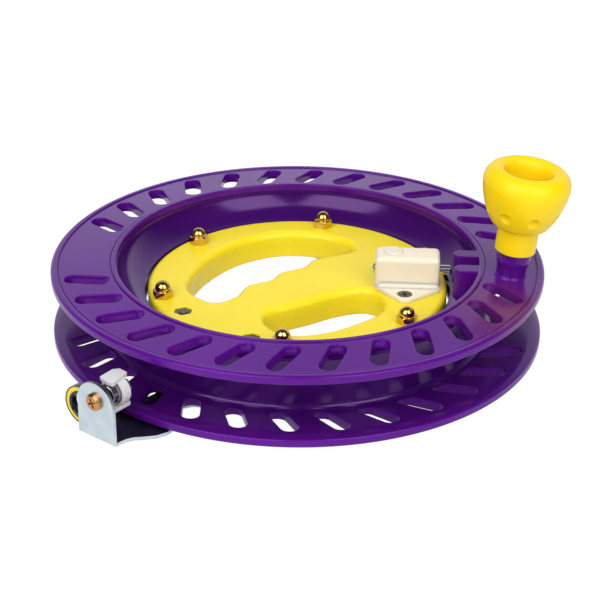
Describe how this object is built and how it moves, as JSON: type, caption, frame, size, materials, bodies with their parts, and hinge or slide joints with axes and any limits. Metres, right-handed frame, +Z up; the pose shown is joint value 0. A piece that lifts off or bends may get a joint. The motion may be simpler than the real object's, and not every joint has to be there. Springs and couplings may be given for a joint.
{
  "type": "kite line winder",
  "caption": "Round hand-held kite line winder: slotted spool reel on bearings round a palm disc, with winding knob, sliding lock pin and line guide.",
  "frame": {"origin": "on the spin axis, at the middle plane of the six bearings inside the palm disc", "axes": "+Z up along the spin axis towards the winding knob; +X along the lock pin, towards the stop ribs"},
  "size_m": [0.2281, 0.2212, 0.0887],
  "materials": {
    "reel_plastic": "gloss",
    "grip_plastic": "gloss",
    "knob_plastic": "satin",
    "gold_nut": "polished",
    "zinc_steel": "satin",
    "bright_steel": "polished",
    "bearing_steel": "polished",
    "ivory_nylon": "satin",
    "white_nylon": "satin",
    "copper_zinc": "satin",
    "dark_steel": "satin",
    "yellow_plastic": "gloss",
    "black_ceramic": "gloss"
  },
  "bodies": {
    "grip": {"upper_palm_plate": "grip_plastic", "lower_palm_plate": "grip_plastic", "axle_bolts": "zinc_steel", "acorn_nuts": "gold_nut", "bearing_inner_rings": "bearing_steel", "bearing_balls": "bearing_steel", "lock_block": "ivory_nylon", "block_screws": "dark_steel", "detent_ball": "bearing_steel", "detent_spring": "bearing_steel", "guide_bracket": "zinc_steel", "bracket_screws": "zinc_steel", "bracket_nuts": "dark_steel", "guide_screw": "copper_zinc", "guide_nut": "zinc_steel", "guide_clip": "white_nylon"},
    "reel": {"upper_flange": "reel_plastic", "drum": "reel_plastic", "lower_flange": "reel_plastic", "knob_washer": "bright_steel", "knob_screw": "bright_steel"},
    "knob": {"winding_knob": "knob_plastic"},
    "pin": {"lock_pin": "bright_steel"},
    "roller": {"guide_roller": "bright_steel"},
    "eyelet": {"eyelet_frame": "dark_steel", "eyelet_ring": "yellow_plastic", "eyelet_insert": "black_ceramic"},
    "bearing_1": {"bearing_outer_1": "bearing_steel"},
    "bearing_2": {"bearing_outer_2": "bearing_steel"},
    "bearing_3": {"bearing_outer_3": "bearing_steel"},
    "bearing_4": {"bearing_outer_4": "bearing_steel"},
    "bearing_5": {"bearing_outer_5": "bearing_steel"},
    "bearing_6": {"bearing_outer_6": "bearing_steel"}
  },
  "joints": [
    {"name": "reel_spin", "type": "hinge", "parent": "grip", "child": "reel", "pos_m": [0, 0, 0], "axis": [0, 0, 1], "continuous": true},
    {"name": "bearing_1_spin", "type": "hinge", "parent": "grip", "child": "bearing_1", "pos_m": [0.0573, 0.02315, 0], "axis": [0, 0, 1], "continuous": true},
    {"name": "bearing_2_spin", "type": "hinge", "parent": "grip", "child": "bearing_2", "pos_m": [0.0086, 0.0612, 0], "axis": [0, 0, 1], "continuous": true},
    {"name": "bearing_3_spin", "type": "hinge", "parent": "grip", "child": "bearing_3", "pos_m": [-0.0489, 0.03779, 0], "axis": [0, 0, 1], "continuous": true},
    {"name": "bearing_4_spin", "type": "hinge", "parent": "grip", "child": "bearing_4", "pos_m": [-0.05843, -0.02012, 0], "axis": [0, 0, 1], "continuous": true},
    {"name": "bearing_5_spin", "type": "hinge", "parent": "grip", "child": "bearing_5", "pos_m": [-0.0027, -0.06174, 0], "axis": [0, 0, 1], "continuous": true},
    {"name": "bearing_6_spin", "type": "hinge", "parent": "grip", "child": "bearing_6", "pos_m": [0.04936, -0.03719, 0], "axis": [0, 0, 1], "continuous": true},
    {"name": "knob_spin", "type": "hinge", "parent": "reel", "child": "knob", "pos_m": [0.09656, -0.01015, 0.0376], "axis": [0.104, -0.0109, 0.9945], "continuous": true},
    {"name": "pin_slide", "type": "slide", "parent": "grip", "child": "pin", "axis": [1, 0, 0], "range_m": [0, 0.007]},
    {"name": "roller_spin", "type": "hinge", "parent": "grip", "child": "roller", "pos_m": [-0.06957, -0.09753, 0.0005], "axis": [-0.5807, -0.8141, 0], "continuous": true},
    {"name": "eyelet_swing", "type": "hinge", "parent": "grip", "child": "eyelet", "pos_m": [-0.07294, -0.10225, 0.0005], "axis": [-0.5807, -0.8141, 0], "range_deg": [-70, 0]}
  ],
  "couplings": [
    {"joint": "bearing_1_spin", "follows": "reel_spin", "ratio": 8.7375},
    {"joint": "bearing_2_spin", "follows": "reel_spin", "ratio": 8.7375},
    {"joint": "bearing_3_spin", "follows": "reel_spin", "ratio": 8.7375},
    {"joint": "bearing_4_spin", "follows": "reel_spin", "ratio": 8.7375},
    {"joint": "bearing_5_spin", "follows": "reel_spin", "ratio": 8.7375},
    {"joint": "bearing_6_spin", "follows": "reel_spin", "ratio": 8.7375}
  ]
}
